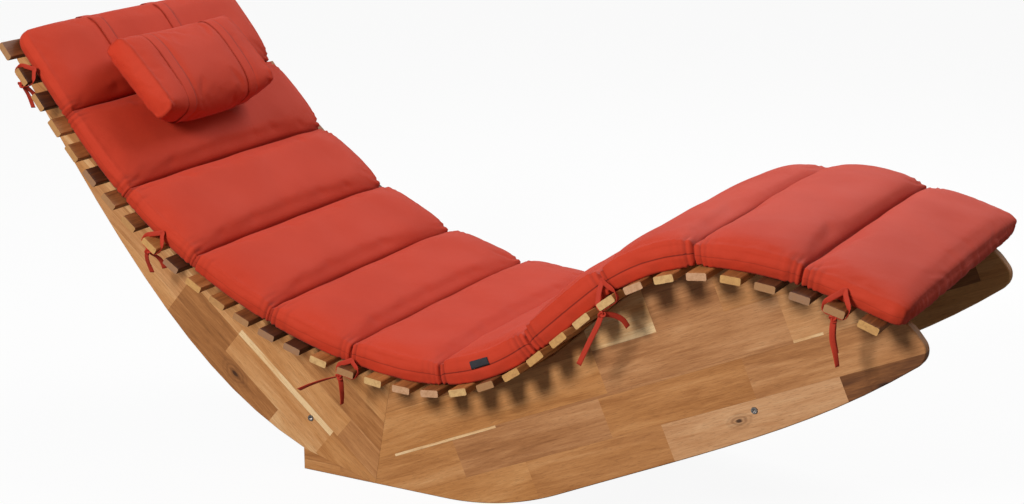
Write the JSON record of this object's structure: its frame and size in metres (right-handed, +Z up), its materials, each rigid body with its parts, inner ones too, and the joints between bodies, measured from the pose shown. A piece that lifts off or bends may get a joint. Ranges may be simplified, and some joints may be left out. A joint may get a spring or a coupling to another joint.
{
  "type": "rocking chaise lounge",
  "caption": "Rocking chaise lounge: an S-curved bed of cross slats on two curved wooden side panels with a short flat heel, a channelled cushion tied to the slats and a head pillow on straps.",
  "frame": {"origin": "On the floor, in the middle of the lounge's bounding box seen from above, while it stands on the flats of its heel boards.", "axes": "+X runs along the lounge from the head end to the foot end, +Z up, and +Y to the side that the picture doesn't face, which is the left of a person lying on it."},
  "size_m": [1.569, 0.615, 0.7017],
  "materials": {
    "slat_wood": "oiled acacia, each slat of another shade from light tan to dark brown, with lighter end grain",
    "panel_wood": "oiled acacia lamellae with staggered butt joints, satin",
    "rail_wood": "oiled acacia, satin",
    "cushion_fabric": "matt terracotta woven polyester with sewn channels",
    "tie_fabric": "matt folded and sewn tape of the cushion's cloth",
    "fastener_steel": "zinc-plated steel"
  },
  "bodies": {
    "root": {"slat_01": "slat_wood", "slat_02": "slat_wood", "slat_03": "slat_wood", "slat_04": "slat_wood", "slat_05": "slat_wood", "slat_06": "slat_wood", "slat_07": "slat_wood", "slat_08": "slat_wood", "slat_09": "slat_wood", "slat_10": "slat_wood", "slat_11": "slat_wood", "slat_12": "slat_wood", "slat_13": "slat_wood", "slat_14": "slat_wood", "slat_15": "slat_wood", "slat_16": "slat_wood", "slat_17": "slat_wood", "slat_18": "slat_wood", "slat_19": "slat_wood", "slat_20": "slat_wood", "slat_21": "slat_wood", "slat_22": "slat_wood", "slat_23": "slat_wood", "slat_24": "slat_wood", "slat_25": "slat_wood", "slat_26": "slat_wood", "slat_27": "slat_wood", "slat_28": "slat_wood", "slat_29": "slat_wood", "slat_30": "slat_wood", "slat_31": "slat_wood", "slat_32": "slat_wood", "slat_33": "slat_wood", "slat_34": "slat_wood", "slat_35": "slat_wood", "back_board_near": "panel_wood", "back_board_far": "panel_wood", "front_board_near": "panel_wood", "front_board_far": "panel_wood", "heel_board_near": "panel_wood", "heel_board_far": "panel_wood", "rear_rail": "rail_wood", "front_rail": "rail_wood", "rear_rail_bolt_near": "fastener_steel", "rear_rail_bolt_far": "fastener_steel", "front_rail_bolt_near": "fastener_steel", "front_rail_bolt_far": "fastener_steel", "rear_rail_nut_near": "fastener_steel", "rear_rail_nut_far": "fastener_steel", "front_rail_nut_near": "fastener_steel", "front_rail_nut_far": "fastener_steel", "seat_cushion": "cushion_fabric", "cushion_tie_1": "tie_fabric", "cushion_tie_2": "tie_fabric", "cushion_tie_3": "tie_fabric", "cushion_tie_4": "tie_fabric", "cushion_tie_5": "tie_fabric"},
    "pillow": {"head_pillow": "cushion_fabric", "pillow_strap_near": "cushion_fabric", "pillow_strap_far": "cushion_fabric"}
  },
  "joints": [
    {"name": "pillow_flip", "type": "hinge", "parent": "root", "child": "pillow", "pos_m": [-0.70227, 0, 0.70136], "axis": [0, -1, 0], "range_deg": [0, 270]}
  ]
}
